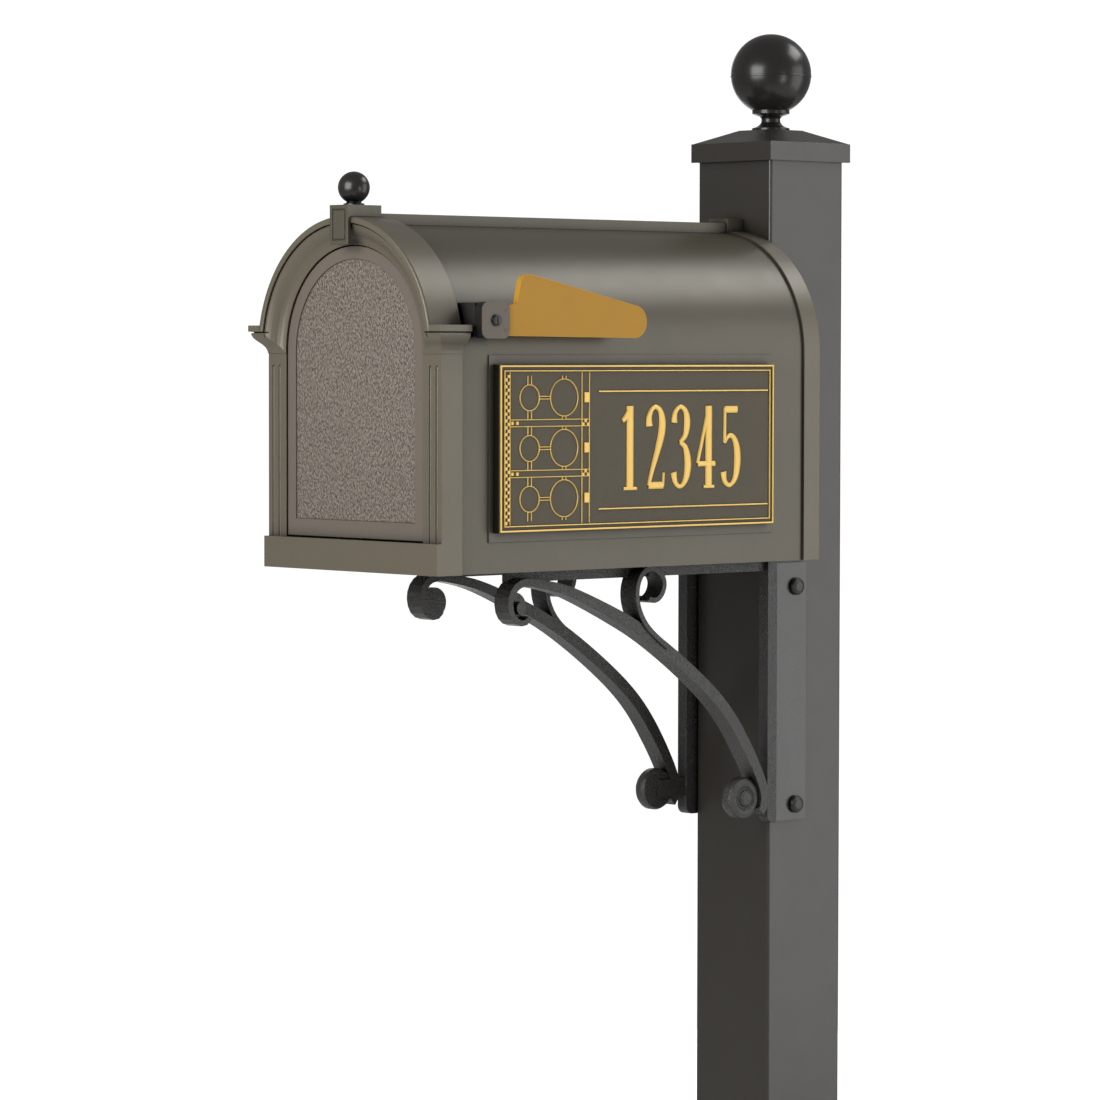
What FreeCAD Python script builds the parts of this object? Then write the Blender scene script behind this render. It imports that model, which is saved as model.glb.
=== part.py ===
import FreeCAD, Part
import math
import os

os.makedirs("parts", exist_ok=True)

V = FreeCAD.Vector

# ---------------------------------------------------------------------------
# Frame: +Z up, the door looks along -Y, the flag and the numbers are on +X.
# Heights below are measured from the underside of the mailbox; save() lifts
# every piece so that the foot of the post ends at z = 0.
# ---------------------------------------------------------------------------

# Driving dimensions, mm
FLOOR_UP = 1067.0       # underside of the mailbox above the ground
POST = 101.6            # square post, across the flats
POST_WALL = 3.2
POST_CORNER = 3.0
POST_TOP = 404.0        # top of the post above the underside of the mailbox

BODY_HALF = 117.0       # half width of the body and radius of its roof
ARCH_Z = 201.0          # height of the roof's centre
BODY_LEN = 493.4        # face of the plinth to the back of the rear frame
WALL = 3.2
FRAME_DEEP = 30.2       # face of the plinth to the joint with the shell

FIT = 0.05              # clearance of parts that are fixed together
BORE_FIT = 0.05         # radial clearance of turning pins
DOOR_GAP = 1.2          # gap around the door
REAR_GAP = 0.5          # back of the mailbox to the post

FRAME_PROUD = 6.8       # pilasters and plinth stand outside the body
JAMB = 26.1             # width of the pilasters and of the arch moulding
PLINTH_TOP = 28.9
PILASTER_BACK = 5.7     # pilaster face behind the plinth face
MOULD_OUT = 14.0        # rim of the mouldings in front of the pilaster face
CORNICE_UP = 24.3       # top of the capitals above the roof's centre
FLUTE_R = 1.9
FLUTE_DOWN = 14.0       # the flutes end below the roof's centre
STOP_LIP = 5.7          # how far the door stop reaches into the doorway
LIP_T = 3.0
LIP_LOW = 46.0          # the door stop ends here, above the sweep of the door's foot

DOOR_FACE = 6.9         # door face behind the plinth face
DOOR_T = 8.1
FIELD_EDGE = 12.7       # plain margin around the door's sunk field
FIELD_LOW = 46.0
PIN_R = 3.0
PIVOT_UP = 36.0         # height of the door pins

KEY_HALF = 13.0
KEY_UP = 9.9            # keystone above the arch moulding
KEY_OUT = 11.5          # keystone in front of the plinth face
TONGUE_T = 3.2
SMALL_BALL_R = 14.7
BALL_BACK = 6.4         # small ball behind the plinth face

RING_PROUD = 2.5        # rear frame outside the body
RING_DEEP = 21.3
REAR_KEY_UP = 11.3      # rear keystone above the rear frame
RIDGE_HALF = 11.0
RIDGE_UP = 9.5          # ridge strip above the roof

PAD_OUT = 1.2           # raised pad behind the number plaque
PLAQUE_LEN = 351.0
PLAQUE_HIGH = 153.0
PLAQUE_T = 8.0
PLAQUE_MID_Z = 113.2
PLAQUE_FRONT = 72.2     # front end of the plaque behind the plinth face
RELIEF = 1.2            # height of the raised lines and numerals

FLAG_BACK = 51.5        # flag pivot behind the plinth face
FLAG_UP = 28.5          # flag pivot above the roof's centre
HUB = 33.0
HUB_T = 10.6
BOSS_T = 16.6
FLAG_LEN = 188.0
FLAG_T = 5.8
FLAG_BOLT_R = 3.0

ARM_GAP = 2.0           # scrollwork outside the line of the post's side
ARM_T = 19.5            # thickness of the scrollwork
STRAP = 12.0            # depth of the curved brace
THIN = 5.0              # depth of the strap at the ends of the scrolls
FOOT = 9.5              # depth of the brace where it runs into the rosette
BAR_LEN = 367.0
BAR_W = 7.5
BAR_H = 13.0
LEG_FRONT = 13.9        # leg in front of the post's face
LEG_T = 11.5
LEG_LOW = 260.5
FLANGE_T = 6.0
BOLT_R = 5.0
BOLT_BACK = 31.0        # post bolts behind the post's face
BOLT_ZS = (-29.5, -245.0)
FLOOR_BOLT_AHEAD = (303.7, 68.7)   # floor bolts in front of the mailbox's back

CAP_PROUD = 5.0         # cap skirt outside the post
CAP_DOWN = 15.1         # cap skirt below the top of the post
CAP_SKIRT_UP = 3.3      # foot of the cap's pyramid above the top of the post
CAP_UP = 16.9
CAP_FLAT = 22.0
BALL_R = 40.0
BALL_UP = 72.4          # centre of the ball above the top of the post

# Derived positions
HP = POST / 2
FRAME_HALF = BODY_HALF + FRAME_PROUD
OPEN_HALF = FRAME_HALF - JAMB
FIELD_HALF = OPEN_HALF - FIELD_EDGE
TONGUE_LOW = ARCH_Z + OPEN_HALF - 0.1
CORNICE_TOP = ARCH_Z + CORNICE_UP
FLUTE_TOP = ARCH_Z - FLUTE_DOWN
KEY_TOP = ARCH_Z + FRAME_HALF + KEY_UP
RING_HALF = BODY_HALF + RING_PROUD
REAR_KEY_TOP = ARCH_Z + RING_HALF + REAR_KEY_UP
RIDGE_TOP = ARCH_Z + BODY_HALF + RIDGE_UP
FLAG_Z = ARCH_Z + FLAG_UP
CAP_HALF = HP + CAP_PROUD
CAP_LOW = POST_TOP - CAP_DOWN
CAP_SKIRT = POST_TOP + CAP_SKIRT_UP
CAP_TOP = POST_TOP + CAP_UP
BALL_Z = POST_TOP + BALL_UP
Y_BACK = -HP - REAR_GAP
YF = Y_BACK - BODY_LEN
Y_PIL = YF + PILASTER_BACK
Y_SEAM = YF + FRAME_DEEP
Y_RING = Y_BACK - RING_DEEP
Y_SHELL_END = Y_BACK - 4.0 - FIT
PIVOT_Y = YF + DOOR_FACE + DOOR_T / 2
Y_LIP = YF + DOOR_FACE + DOOR_T + 0.3
DOOR_HALF = OPEN_HALF - DOOR_GAP
DOOR_LOW = PLINTH_TOP + DOOR_GAP
INNER_HALF = BODY_HALF - WALL
FLAG_Y = YF + FLAG_BACK
BOLT_Y = -HP + BOLT_BACK
ARM_IN = HP + ARM_GAP
ARM_OUT = ARM_IN + ARM_T
FLOOR_BOLT_YS = [Y_BACK - d for d in FLOOR_BOLT_AHEAD]
RIDGE_YS = [YF + d for d in (60.0, 245.0, 430.0)]
REAR_KEY_Y = Y_BACK - 12.0
FRONT_KEY_Y = YF + 22.0
FRAME_SCREWS = [(side, z) for z in (40.0, 110.0, 180.0) for side in (-1, 1)]
CATCH_Z = ARCH_Z + OPEN_HALF - STOP_LIP + 2.6
CATCH_SCREWS = [(-10.0, CATCH_Z), (10.0, CATCH_Z)]
STRIKE_Z = ARCH_Z + FIELD_HALF - 10.0
STRIKE_Y = YF + DOOR_FACE + 4.8
RIVET_XS = (-11.5, 11.5)
REAR_SCREW_R = BODY_HALF - 10.5
REAR_SCREWS = [(side * REAR_SCREW_R, z) for z in (24.0, 112.0, ARCH_Z) for side in (-1, 1)]
for angle in (48.0, 132.0):
    turn = math.radians(angle)
    REAR_SCREWS.append((REAR_SCREW_R * math.cos(turn), ARCH_Z + REAR_SCREW_R * math.sin(turn)))


def save(name, shape):
    """Lift one piece to its height above the ground and write it."""
    s = shape.copy()
    s.translate(V(0, 0, FLOOR_UP))
    s.exportStep("parts/" + name + ".step")


def box(x0, x1, y0, y1, z0, z1):
    return Part.makeBox(x1 - x0, y1 - y0, z1 - z0, V(x0, y0, z0))


def cyl(r, a, b):
    """Round bar of radius r from point a to point b."""
    a = V(*a)
    b = V(*b)
    return Part.makeCylinder(r, (b - a).Length, a, b - a)


def fuse(items):
    s = items[0]
    for t in items[1:]:
        s = s.fuse(t)
    return s.removeSplitter()


def arch(half, low, y0, y1):
    """Block with a round top, lying between y0 and y1."""
    a = V(-half, y0, low)
    b = V(-half, y0, ARCH_Z)
    c = V(0, y0, ARCH_Z + half)
    d = V(half, y0, ARCH_Z)
    e = V(half, y0, low)
    edges = [Part.makeLine(a, b)]
    edges.append(Part.Arc(b, c, d).toShape())
    edges.append(Part.makeLine(d, e))
    edges.append(Part.makeLine(e, a))
    return Part.Face(Part.Wire(edges)).extrude(V(0, y1 - y0, 0))


def rounded_box_x(x0, x1, cy, cz, wy, wz, r):
    """Plate seen along X with rounded corners."""
    b = box(x0, x1, cy - wy / 2, cy + wy / 2, cz - wz / 2, cz + wz / 2)
    picked = []
    for e in b.Edges:
        d = e.Vertexes[0].Point - e.Vertexes[1].Point
        if abs(abs(d.x) - (x1 - x0)) < 1e-6 and abs(d.y) + abs(d.z) < 1e-6:
            picked.append(e)
    return b.makeFillet(r, picked)


def prism_x(pts, x0, x1):
    """Closed outline given as (y, z) points, extruded along X."""
    w = Part.makePolygon([V(x0, y, z) for y, z in pts] + [V(x0, pts[0][0], pts[0][1])])
    return Part.Face(w).extrude(V(x1 - x0, 0, 0))


def turned(profile, base, axis):
    """Solid of revolution; profile is (radius, height) from the axis."""
    pts = [V(r, 0, h) for r, h in profile]
    pts.append(pts[0])
    s = Part.Face(Part.makePolygon(pts)).revolve(V(0, 0, 0), V(0, 0, 1), 360)
    s.Placement = FreeCAD.Placement(V(*base), FreeCAD.Rotation(V(0, 0, 1), V(*axis)))
    return s


def mirrored(s):
    return s.mirror(V(0, 0, 0), V(1, 0, 0))


def hexagon(across, a, b):
    """Hexagonal bar between two points."""
    a = V(*a)
    b = V(*b)
    r = across / math.sqrt(3)
    pts = []
    for k in range(7):
        t = math.radians(60 * k)
        pts.append(V(r * math.cos(t), r * math.sin(t), 0))
    s = Part.Face(Part.makePolygon(pts)).extrude(V(0, 0, (b - a).Length))
    s.Placement = FreeCAD.Placement(a, FreeCAD.Rotation(V(0, 0, 1), b - a))
    return s


# ---------------------------------------------------------------------------
# Post, cap and large finial
# ---------------------------------------------------------------------------
def post_tube():
    outer = box(-HP, HP, -HP, HP, -FLOOR_UP, POST_TOP)
    upright = [e for e in outer.Edges if abs(e.Length - POST_TOP - FLOOR_UP) < 1e-6]
    outer = outer.makeFillet(POST_CORNER, upright)
    hi = HP - POST_WALL
    inner = box(-hi, hi, -hi, hi, -FLOOR_UP - 1, POST_TOP + 1)
    tube = outer.cut(inner)
    for z in BOLT_ZS:
        tube = tube.cut(cyl(BOLT_R + FIT, (-HP - 5, BOLT_Y, z), (HP + 5, BOLT_Y, z)))
    z = CAP_LOW + 7
    tube = tube.cut(cyl(2.0 + FIT, (0, HP + 5, z), (0, HP - 8, z)))
    tube = tube.cut(cyl(2.0 + FIT, (-HP - 5, 0, z), (-HP + 8, 0, z)))
    return tube


def square_loft(h0, z0, h1, z1):
    w0 = Part.makePolygon([V(-h0, -h0, z0), V(h0, -h0, z0), V(h0, h0, z0), V(-h0, h0, z0), V(-h0, -h0, z0)])
    w1 = Part.makePolygon([V(-h1, -h1, z1), V(h1, -h1, z1), V(h1, h1, z1), V(-h1, h1, z1), V(-h1, -h1, z1)])
    return Part.makeLoft([w0, w1], True, True)


def post_cap():
    skirt = box(-CAP_HALF, CAP_HALF, -CAP_HALF, CAP_HALF, CAP_LOW, CAP_SKIRT)
    roof = square_loft(CAP_HALF - 1.0, CAP_SKIRT, CAP_FLAT, CAP_TOP)
    hollow = box(-HP - FIT, HP + FIT, -HP - FIT, HP + FIT, CAP_LOW - 1, POST_TOP)
    cap = fuse([skirt, roof]).cut(hollow)
    cap = cap.cut(cyl(4.0 + FIT, (0, 0, POST_TOP - 1), (0, 0, CAP_TOP + 1)))
    z = CAP_LOW + 7
    cap = cap.cut(cyl(2.0 + FIT, (0, HP - 1, z), (0, CAP_HALF + 1, z)))
    cap = cap.cut(cyl(2.0 + FIT, (-HP + 1, 0, z), (-CAP_HALF - 1, 0, z)))
    return cap


def cap_screws():
    z = CAP_LOW + 7
    made = []
    for d in (V(0, 1, 0), V(-1, 0, 0)):
        a = d * (HP - 6)
        b = d * CAP_HALF
        c = d * (CAP_HALF + 2)
        shank = cyl(2.0, (a.x, a.y, z), (b.x, b.y, z))
        head = cyl(4.0, (b.x, b.y, z), (c.x, c.y, z))
        made.append(fuse([shank, head]))
    return Part.makeCompound(made)


def finial_neck():
    z = CAP_TOP
    cup_r = 18.6
    profile = [(4.0 + FIT, z), (18.8, z), (18.8, z + 2.2), (16.0, z + 3.0), (12.1, z + 4.9)]
    profile += [(9.6, z + 8.0), (9.3, z + 11.5), (11.0, z + 13.6), (15.5, z + 15.2)]
    profile += [(cup_r, z + 16.4), (cup_r, z + 20.5), (16.8, z + 21.6), (4.0 + FIT, z + 21.6)]
    neck = turned(profile, (0, 0, 0), (0, 0, 1))
    return neck.cut(Part.makeSphere(BALL_R + FIT, V(0, 0, BALL_Z)))


def finial_ball():
    ball = Part.makeSphere(BALL_R, V(0, 0, BALL_Z))
    band = turned(
        [
            (BALL_R - 3, BALL_Z - 3.0),
            (BALL_R + 0.3, BALL_Z - 3.0),
            (BALL_R + 0.3, BALL_Z - 1.4),
            (BALL_R - 3, BALL_Z - 1.4),
        ],
        (0, 0, 0), (0, 0, 1))
    ball = ball.fuse(band)
    return ball.cut(cyl(4.0 + FIT, (0, 0, BALL_Z - BALL_R - 1), (0, 0, BALL_Z - 14)))


def finial_rod():
    return cyl(4.0, (0, 0, POST_TOP - 16), (0, 0, BALL_Z - 16))


def finial_nut():
    nut = hexagon(13.0, (0, 0, POST_TOP - 7.5), (0, 0, POST_TOP - FIT))
    return nut.cut(cyl(4.0 + FIT, (0, 0, POST_TOP - 20), (0, 0, POST_TOP + 2)))


# ---------------------------------------------------------------------------
# Brackets: two mirrored castings with scrolls, bolted through the post
# ---------------------------------------------------------------------------
# Outlines of the scrollwork, as (distance in front of the post's face, height)
BRACE = [(333.0, -47.0), (345.0, -53.2), (357.0, -47.5), (362.3, -36.0), (360.0, -21.0), (348.0, -10.5)]
BRACE += [(325.0, -10.2), (298.0, -14.7), (246.8, -32.0), (196.0, -54.5), (155.2, -78.5), (115.0, -106.5)]
BRACE += [(75.0, -141.0), (47.2, -177.0), (29.2, -208.0), (21.6, -228.0), (22.0, -241.0), (27.5, -250.5)]
CURL = [(183.0, -31.0), (175.0, -32.0), (168.5, -26.0), (167.0, -18.0), (172.5, -10.5), (182.0, -7.0)]
CURL += [(191.0, -11.0), (196.5, -21.0), (197.0, -34.0), (193.0, -46.0), (184.5, -58.0), (172.0, -68.5)]
CURL += [(158.0, -78.5)]
ROSETTE_BACK = 49.0     # centre of the rosette in front of the post's face
ROSETTE_Z = -233.4
ROSETTE_R = 20.6
EYE = (344.5, -36.5)    # eye of the front scroll


def strap_outline(pts, start, deep, end):
    """Bar below a smooth curve, thinner where the curve starts and ends."""
    curve = Part.BSplineCurve()
    curve.interpolate([V(0, -HP - d, z) for d, z in pts])
    steps = 72
    near = []
    far = []
    for k in range(steps + 1):
        share = k / steps
        u = curve.FirstParameter + (curve.LastParameter - curve.FirstParameter) * share
        p = curve.value(u)
        t = curve.tangent(u)[0]
        depth = min(deep, start + (deep - start) * share / 0.42, end + (deep - end) * (1.0 - share) / 0.16)
        near.append((p.y, p.z))
        far.append((p.y + t.z * depth, p.z - t.y * depth))
    return near + far[::-1]


def bracket():
    """The +X casting."""
    items = [prism_x(strap_outline(BRACE, THIN, STRAP, FOOT), ARM_IN, ARM_OUT)]
    items.append(prism_x(strap_outline(CURL, THIN, THIN, THIN), ARM_IN, ARM_OUT + 2.0))
    # web that closes the back of the front scroll, and its eye
    y_eye = -HP - EYE[0]
    items.append(cyl(14.5, (ARM_IN, y_eye, EYE[1]), (ARM_IN + 8.0, y_eye, EYE[1])))
    items.append(cyl(6.0, (ARM_IN, y_eye, EYE[1]), (ARM_OUT - 1.5, y_eye, EYE[1])))
    r = ROSETTE_R
    rosette = [(0, 0), (r - 1.5, 0), (r, 3.0), (r, 10.0), (r - 1.5, 12.6), (r - 5.0, 14.2), (r - 8.5, 13.6)]
    rosette += [(r - 10.5, 12.2), (r - 12.0, 12.6), (r - 13.0, 14.4), (r - 15.0, 16.0), (0, 16.0)]
    items.append(turned(rosette, (ARM_IN + 2.0, -HP - ROSETTE_BACK, ROSETTE_Z), (1, 0, 0)))
    # web that ties the foot of the brace and the rosette to the leg
    y_foot = -HP - ROSETTE_BACK
    items.append(box(ARM_IN, ARM_IN + 8.0, y_foot, -HP - LEG_FRONT + 1.0, ROSETTE_Z - 9.0, ROSETTE_Z + 9.0))
    # top bar under the mailbox, leg in front of the post and flange along its side
    y_leg = -HP - LEG_FRONT
    y_bar = y_leg - BAR_LEN + 29.7
    items.append(box(HP, HP + BAR_W, y_bar, y_leg + 5.0, -BAR_H, 0))
    leg = box(HP, ARM_IN + LEG_T - 1.0, y_leg, -HP - 1.5, -LEG_LOW, -3.0)
    picked = []
    for e in leg.Edges:
        box_e = e.BoundBox
        if box_e.YMax < y_leg + 0.01 and box_e.XLength > 5 and box_e.ZMax < -LEG_LOW + 0.01:
            picked.append(e)
    items.append(leg.makeFillet(8.0, picked))
    items.append(box(HP, HP + FLANGE_T, -HP - 2.0, BOLT_Y + 15.5, -LEG_LOW, -6.0))
    for y in FLOOR_BOLT_YS:
        items.append(box(HP - 26.0, HP + 1.0, y - 15.0, y + 15.0, -5.0, 0))
    s = fuse(items)
    for z in BOLT_ZS:
        s = s.cut(cyl(BOLT_R + FIT, (HP - 1, BOLT_Y, z), (HP + 20, BOLT_Y, z)))
    for y in FLOOR_BOLT_YS:
        s = s.cut(cyl(3.0 + FIT, (HP - 13.0, y, -10), (HP - 13.0, y, 5)))
    return s


def bracket_bolts():
    x = HP + FLANGE_T
    made = []
    for z in BOLT_ZS:
        shank = cyl(BOLT_R, (-x - 14.0, BOLT_Y, z), (x + 0.5, BOLT_Y, z))
        dome = [(0, 0), (8.6, 0), (8.6, 2.6), (7.4, 4.6), (4.5, 5.6), (0, 5.8)]
        head = turned(dome, (x, BOLT_Y, z), (1, 0, 0))
        made.append(fuse([shank, head]))
    return Part.makeCompound(made)


def bracket_washers():
    x = HP + FLANGE_T
    made = []
    for z in BOLT_ZS:
        w = cyl(10.0, (-x - 2.0, BOLT_Y, z), (-x, BOLT_Y, z))
        made.append(w.cut(cyl(BOLT_R + FIT, (-x - 5, BOLT_Y, z), (-x + 2, BOLT_Y, z))))
    return Part.makeCompound(made)


def bracket_nuts():
    x = HP + FLANGE_T + 2.0
    made = []
    for z in BOLT_ZS:
        n = hexagon(16.0, (-x - 8.0, BOLT_Y, z), (-x, BOLT_Y, z))
        made.append(n.cut(cyl(BOLT_R + FIT, (-x - 10, BOLT_Y, z), (-x + 2, BOLT_Y, z))))
    return Part.makeCompound(made)


def floor_fasteners():
    bolts = []
    nuts = []
    for sx in (-1, 1):
        for y in FLOOR_BOLT_YS:
            x = sx * (HP - 13.0)
            head = hexagon(10.0, (x, y, -9.0), (x, y, -5.0))
            bolts.append(fuse([head, cyl(3.0, (x, y, -5.0), (x, y, 11.0))]))
            nut = hexagon(10.0, (x, y, WALL), (x, y, WALL + 5.0))
            nuts.append(nut.cut(cyl(3.0 + FIT, (x, y, 0), (x, y, 15))))
    return Part.makeCompound(bolts), Part.makeCompound(nuts)


# ---------------------------------------------------------------------------
# Body: bent shell with a round roof, floor pan, rear frame and rear panel
# ---------------------------------------------------------------------------
PLAQUE_Y0 = YF + PLAQUE_FRONT
PLAQUE_Y1 = PLAQUE_Y0 + PLAQUE_LEN
PLAQUE_X = BODY_HALF + PAD_OUT
STUD_YS = (PLAQUE_Y0 + 14.0, PLAQUE_Y1 - 14.0)
STUD_ZS = (PLAQUE_MID_Z - 60.0, PLAQUE_MID_Z + 60.0)


def body_shell():
    s = arch(BODY_HALF, 0, Y_SEAM + FIT, Y_SHELL_END)
    s = s.cut(arch(BODY_HALF - WALL, -1, Y_SEAM - 1, Y_BACK))
    pad_z = PLAQUE_HIGH / 2 + 8.5
    pad = box(BODY_HALF - 1, PLAQUE_X, PLAQUE_Y0 - 5.5, PLAQUE_Y1 + 5.5, PLAQUE_MID_Z - pad_z, PLAQUE_MID_Z + pad_z)
    s = s.fuse(pad)
    s = s.cut(cyl(FLAG_BOLT_R + FIT, (BODY_HALF - 15, FLAG_Y, FLAG_Z), (BODY_HALF + 10, FLAG_Y, FLAG_Z)))
    for y in STUD_YS:
        for z in STUD_ZS:
            s = s.cut(cyl(2.0 + FIT, (BODY_HALF - 10, y, z), (BODY_HALF + 10, y, z)))
    for y in RIDGE_YS + [REAR_KEY_Y]:
        s = s.cut(cyl(2.0 + FIT, (0, y, ARCH_Z + 100), (0, y, ARCH_Z + 125)))
    for side, z in FRAME_SCREWS:
        a = (side * (INNER_HALF - 1), Y_SEAM + 5, z)
        b = (side * (INNER_HALF + 1.8), Y_SEAM + 5, z)
        s = s.cut(cyl(1.5 + FIT, a, b))
    return s.removeSplitter()


def floor_pan():
    h = INNER_HALF - FIT
    y0 = Y_SEAM + 12.0
    s = box(-h, h, y0, Y_SHELL_END, 0, WALL)
    s = fuse([s, box(-h, -h + WALL, y0, Y_SHELL_END, 0, 16.0), box(h - WALL, h, y0, Y_SHELL_END, 0, 16.0)])
    for sx in (-1, 1):
        for y in FLOOR_BOLT_YS:
            s = s.cut(cyl(3.0 + FIT, (sx * (HP - 13.0), y, -5), (sx * (HP - 13.0), y, 10)))
    return s


def roof_block(half, y0, y1, top, r):
    """Square block standing on the round roof of radius r."""
    b = box(-half, half, y0, y1, ARCH_Z + r - 4.0, top)
    return b.cut(cyl(r, (0, y0 - 1, ARCH_Z), (0, y1 + 1, ARCH_Z)))


def ridge_strip():
    y0 = YF + FRAME_DEEP - 2.0 + FIT
    y1 = Y_RING - FIT
    s = box(-RIDGE_HALF, RIDGE_HALF, y0, y1, ARCH_Z + BODY_HALF - 3.0, RIDGE_TOP)
    s = s.cut(cyl(BODY_HALF + FIT, (0, Y_SEAM, ARCH_Z), (0, y1 + 5, ARCH_Z)))
    s = s.cut(cyl(FRAME_HALF + FIT, (0, y0 - 5, ARCH_Z), (0, Y_SEAM + FIT, ARCH_Z)))
    for y in RIDGE_YS:
        s = s.cut(cyl(2.0 + FIT, (0, y, ARCH_Z + 100), (0, y, RIDGE_TOP - 2.5)))
    return s


def ridge_screws():
    made = []
    z = ARCH_Z + BODY_HALF - WALL
    for y in RIDGE_YS:
        head = cyl(4.0, (0, y, z - 2.4), (0, y, z - 0.1))
        made.append(fuse([head, cyl(2.0, (0, y, z - 1), (0, y, RIDGE_TOP - 3.0))]))
    return Part.makeCompound(made)


def rear_frame():
    band_part = arch(RING_HALF, 0, Y_RING, Y_BACK)
    band_part = band_part.cut(arch(BODY_HALF + FIT, -1, Y_RING - 1, Y_BACK - 4.0))
    window = arch(100.0, 15.0, Y_BACK - 5.0, Y_BACK + 1)
    s = band_part.cut(window)
    for x, z in REAR_SCREWS:
        s = s.cut(cyl(2.0 + FIT, (x, Y_BACK - 6, z), (x, Y_BACK + 1, z)))
    s = s.cut(cyl(2.0 + FIT, (0, REAR_KEY_Y, ARCH_Z + 100), (0, REAR_KEY_Y, ARCH_Z + 125)))
    return s


def rear_panel():
    h = INNER_HALF - FIT
    s = arch(h, WALL + FIT, Y_SHELL_END - WALL, Y_SHELL_END)
    s = s.cut(box(h - WALL - FIT, h + 1, Y_BACK - 20, Y_BACK, 0, 16.0 + FIT))
    s = s.cut(box(-h - 1, -h + WALL + FIT, Y_BACK - 20, Y_BACK, 0, 16.0 + FIT))
    for x, z in REAR_SCREWS:
        s = s.cut(cyl(2.0 + FIT, (x, Y_BACK - 16, z), (x, Y_BACK + 1, z)))
    return s


def rear_screws():
    made = []
    for x, z in REAR_SCREWS:
        shank = cyl(2.0, (x, Y_SHELL_END - WALL - 2.0, z), (x, Y_BACK + 0.2, z))
        head = turned([(0, 0), (4.0, 0), (3.6, 1.4), (2.2, 2.2), (0, 2.3)], (x, Y_BACK, z), (0, 1, 0))
        made.append(fuse([shank, head]))
    return Part.makeCompound(made)


def rear_keystone():
    s = roof_block(KEY_HALF, Y_RING, Y_BACK, REAR_KEY_TOP, RING_HALF + FIT)
    return s.cut(cyl(2.0 + FIT, (0, REAR_KEY_Y, ARCH_Z + 110), (0, REAR_KEY_Y, REAR_KEY_TOP - 3)))


# ---------------------------------------------------------------------------
# Front frame: arch moulding, cornices, fluted pilasters and plinth
# ---------------------------------------------------------------------------
# One profile for the arch and the capitals: (share of the jamb's width from its
# outer edge, distance in front of the pilaster face as a share of MOULD_OUT)
PROFILE = [(0.0, 0.84), (0.02, 0.95), (0.06, 1.0), (0.20, 1.0), (0.232, 0.96), (0.235, 0.72), (0.265, 0.72)]
PROFILE += [(0.275, 0.85), (0.34, 0.84), (0.43, 0.77), (0.51, 0.655), (0.60, 0.48), (0.68, 0.31)]
PROFILE += [(0.77, 0.17), (0.855, 0.09), (0.93, 0.05), (1.0, 0.03)]
CAP_EDGE = [(0.0, 1.0), (0.22, 1.0)]
CAPITAL = CAP_EDGE + PROFILE[5:]


def outline(pairs):
    """Profile in mm: (distance from the outer edge, distance in front)."""
    return [(JAMB * a, MOULD_OUT * b) for a, b in pairs]


def arch_moulding():
    """Moulding round the arch, with straight tails down to the pilasters."""
    pts = [V(FRAME_HALF - d, Y_PIL - o, 0) for d, o in outline(PROFILE)]
    pts = [V(FRAME_HALF, Y_PIL + 2.0, 0)] + pts + [V(OPEN_HALF, Y_PIL + 2.0, 0)]
    face = Part.Face(Part.makePolygon(pts + [pts[0]]))
    up = face.copy()
    up.translate(V(0, 0, ARCH_Z))
    turn = up.revolve(V(0, 0, ARCH_Z), V(0, 1, 0), -180)
    tail = face.copy()
    tail.translate(V(0, 0, CORNICE_TOP - JAMB))
    tail = tail.extrude(V(0, 0, ARCH_Z - CORNICE_TOP + JAMB))
    return fuse([turn, tail, mirrored(tail)])


def capitals():
    """Mouldings turned outwards at the foot of the arch and round the corners."""
    low = CORNICE_TOP - JAMB
    reach = FRAME_HALF + MOULD_OUT + 5.0
    rows = [(CORNICE_TOP - d, o) for d, o in outline(CAPITAL)]
    front = [V(-reach, Y_PIL - o, z) for z, o in rows]
    front += [V(-reach, Y_PIL, low), V(-reach, Y_SEAM, low), V(-reach, Y_SEAM, CORNICE_TOP)]
    front = Part.Face(Part.makePolygon(front + [front[0]])).extrude(V(2 * reach, 0, 0))
    above = box(-reach, reach, Y_PIL - MOULD_OUT - 1, Y_SEAM, CORNICE_TOP, ARCH_Z + FRAME_HALF + 5.0)
    mitred = arch_moulding().common(fuse([front, above]))
    side = [V(FRAME_HALF + o * 0.95, Y_PIL - 30.0, z) for z, o in rows]
    side += [V(FRAME_HALF - 2.4, Y_PIL - 30.0, low), V(FRAME_HALF - 2.4, Y_PIL - 30.0, CORNICE_TOP)]
    side = Part.Face(Part.makePolygon(side + [side[0]])).extrude(V(0, Y_SEAM - Y_PIL + 30.0, 0))
    wing = side.common(front)
    return [mitred, wing, mirrored(wing)]


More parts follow.
